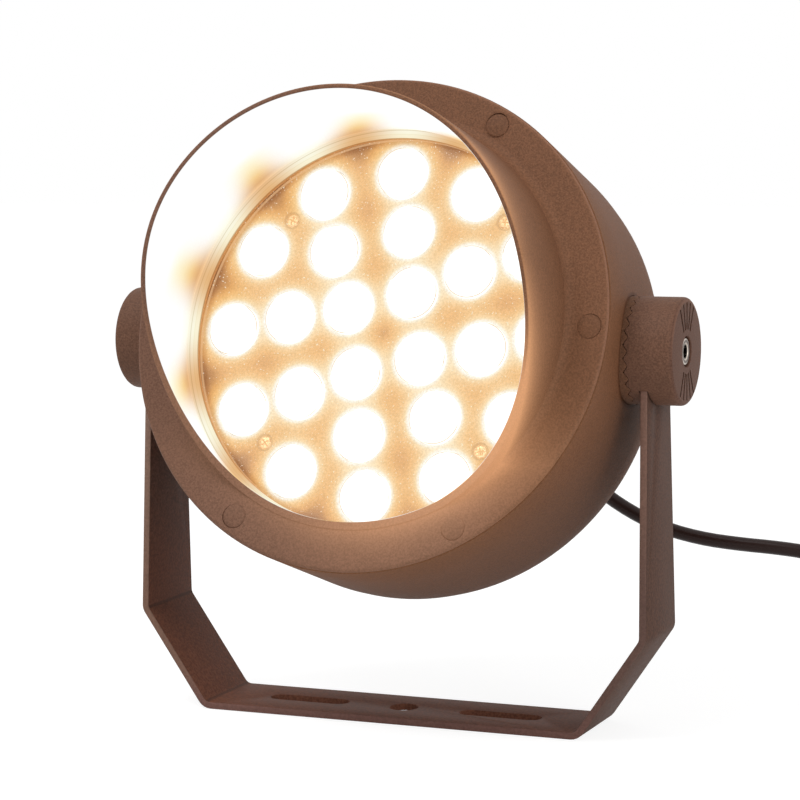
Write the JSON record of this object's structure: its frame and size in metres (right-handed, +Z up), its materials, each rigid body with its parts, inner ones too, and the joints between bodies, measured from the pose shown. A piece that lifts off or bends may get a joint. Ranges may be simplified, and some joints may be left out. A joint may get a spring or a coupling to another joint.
{
  "type": "outdoor spotlight",
  "caption": "Round outdoor LED spotlight with a slanted anti-glare hood, tilting between toothed side knobs on a slotted strip bracket, with a cord.",
  "frame": {"origin": "middle of the lamp, without its cord, in plan, at the level that the bracket stands on", "axes": "-Y is the way the lamp faces, +Z is up, X runs along the tilt axis through the two side knobs"},
  "size_m": [0.4051, 0.2182, 0.2566],
  "materials": {
    "cast_shell": "matt brown powder coat",
    "steel_strip": "matt brown powder coat",
    "cast_knob": "matt brown powder coat",
    "knob_plastic": "matt brown",
    "stainless": "bright stainless",
    "glass": "clear toughened",
    "lens": "clear, lit warm",
    "panel": "satin",
    "board": "white solder mask",
    "driver": "potted",
    "rubber": "matt",
    "black_nylon": "matt"
  },
  "bodies": {
    "stand": {"bracket": "steel_strip", "knob_left": "cast_knob", "knob_right": "cast_knob", "cord": "rubber", "cord_coil": "rubber", "connector": "black_nylon"},
    "head": {"housing": "cast_shell", "front_cover": "cast_shell", "glass": "glass", "glass_gasket": "rubber", "cover_gasket": "rubber", "lens_panel": "panel", "led_board": "board", "driver": "driver", "gland_body": "black_nylon", "gland_nut": "black_nylon", "hub_left": "cast_shell", "hub_right": "cast_shell", "lens_01": "lens", "lens_02": "lens", "lens_03": "lens", "lens_04": "lens", "lens_05": "lens", "lens_06": "lens", "lens_07": "lens", "lens_08": "lens", "lens_09": "lens", "lens_10": "lens", "lens_11": "lens", "lens_12": "lens", "lens_13": "lens", "lens_14": "lens", "lens_15": "lens", "lens_16": "lens", "lens_17": "lens", "lens_18": "lens", "lens_19": "lens", "lens_20": "lens", "lens_21": "lens", "lens_22": "lens", "lens_23": "lens", "lens_24": "lens", "panel_screw_1": "stainless", "panel_screw_2": "stainless", "panel_screw_3": "stainless", "panel_screw_4": "stainless", "hood_screw_1": "stainless", "hood_screw_2": "stainless", "hood_screw_3": "stainless", "hood_screw_4": "stainless", "hood_screw_5": "stainless", "hood_screw_6": "stainless", "screw_plug_1": "knob_plastic", "screw_plug_2": "knob_plastic", "screw_plug_3": "knob_plastic", "screw_plug_4": "knob_plastic", "screw_plug_5": "knob_plastic", "screw_plug_6": "knob_plastic"},
    "bolt_left": {"clamp_bolt_left": "stainless"},
    "bolt_right": {"clamp_bolt_right": "stainless"}
  },
  "joints": [
    {"name": "tilt", "type": "hinge", "parent": "stand", "child": "head", "pos_m": [0, -0.0089, 0.15114], "axis": [1, 0, 0], "range_deg": [-75, 105], "deforming": ["cord"]},
    {"name": "loosen_left", "type": "hinge", "parent": "stand", "child": "bolt_left", "pos_m": [-0.11, -0.0089, 0.15114], "axis": [-1, 0, 0], "range_deg": [0, 360]},
    {"name": "loosen_right", "type": "hinge", "parent": "stand", "child": "bolt_right", "pos_m": [0.11, -0.0089, 0.15114], "axis": [1, 0, 0], "range_deg": [0, 360]}
  ]
}
